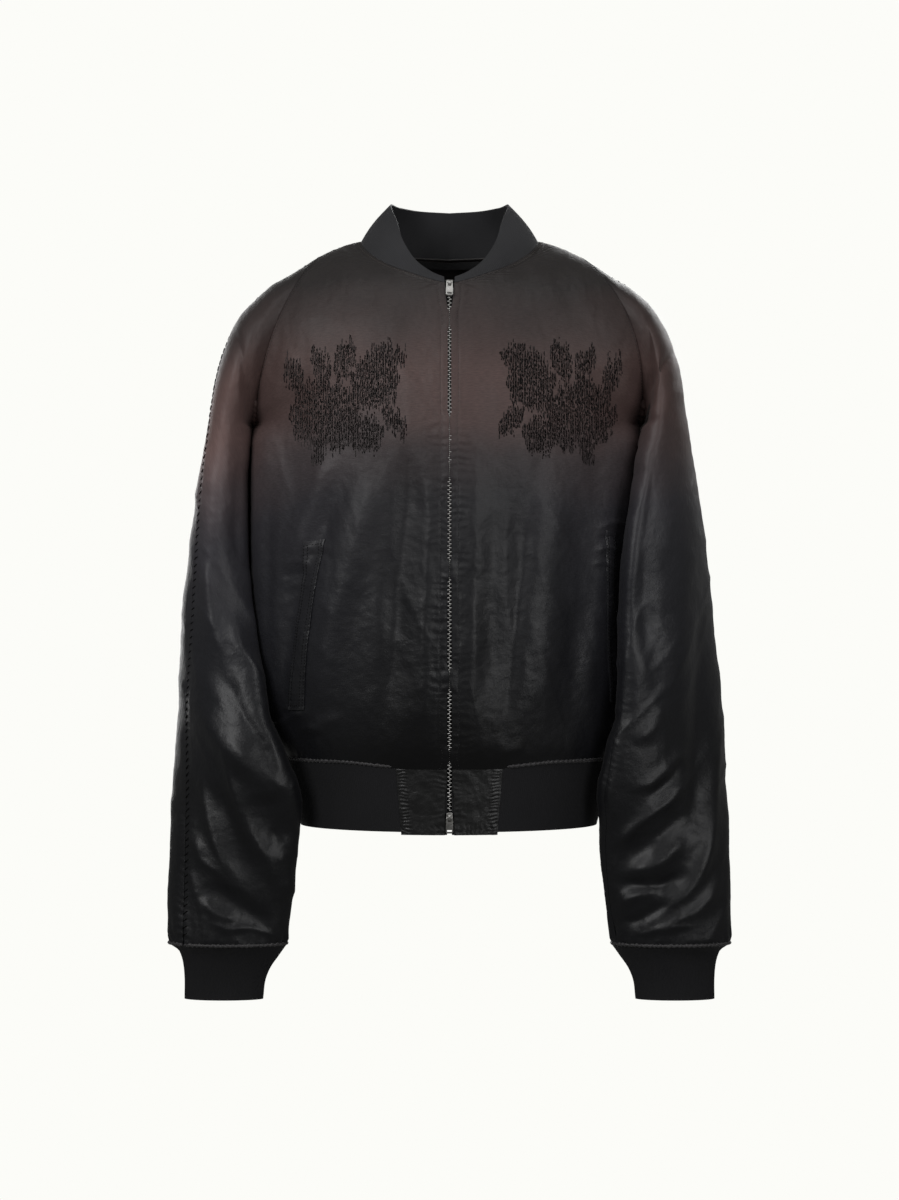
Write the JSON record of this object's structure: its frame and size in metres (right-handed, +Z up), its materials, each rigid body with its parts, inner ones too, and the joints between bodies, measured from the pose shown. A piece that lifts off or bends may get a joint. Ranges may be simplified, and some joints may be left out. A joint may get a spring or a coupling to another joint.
{
  "type": "souvenir jacket",
  "caption": "Black satin souvenir jacket with a zip front, ribbed collar, cuffs and hem, slanted welt pockets and quilted chest patches, in its worn form.",
  "frame": {"origin": "midway between the points where the shoulder seams meet the neck, where the wearer's shoulders hold the jacket", "axes": "+Z up along the wearer, +X towards the wearer's left, -Y out of the front with the zip"},
  "size_m": [0.6099, 0.2893, 0.8694],
  "materials": {
    "satin": "soft sheen",
    "rib_knit": "matte knit",
    "tape": "matte weave",
    "zip_teeth": "satin",
    "slider_metal": "polished"
  },
  "bodies": {
    "jacket": {"back": "satin", "front_left": "satin", "front_right": "satin", "sleeve_left_front": "satin", "sleeve_left_back": "satin", "sleeve_right_front": "satin", "sleeve_right_back": "satin", "hem_tab_left": "satin", "hem_tab_right": "satin", "pocket_welt_left": "satin", "pocket_welt_right": "satin", "collar": "rib_knit", "cuff_left": "rib_knit", "cuff_right": "rib_knit", "hem_rib": "rib_knit", "back_neck_tape": "tape", "zip_tape_left": "tape", "zip_tape_right": "tape", "zip_chain": "zip_teeth", "slider_top": "slider_metal", "slider_bottom": "slider_metal"},
    "pull_top": {"pull_top": "slider_metal"},
    "pull_bottom": {"pull_bottom": "slider_metal"}
  },
  "joints": [
    {"name": "pull_top_lift", "type": "hinge", "parent": "jacket", "child": "pull_top", "pos_m": [0, -0.10378, -0.05654], "axis": [-1, 0, 0], "range_deg": [0, 170]},
    {"name": "pull_bottom_lift", "type": "hinge", "parent": "jacket", "child": "pull_bottom", "pos_m": [0, -0.12516, -0.62464], "axis": [-1, 0, 0], "range_deg": [0, 170]}
  ]
}
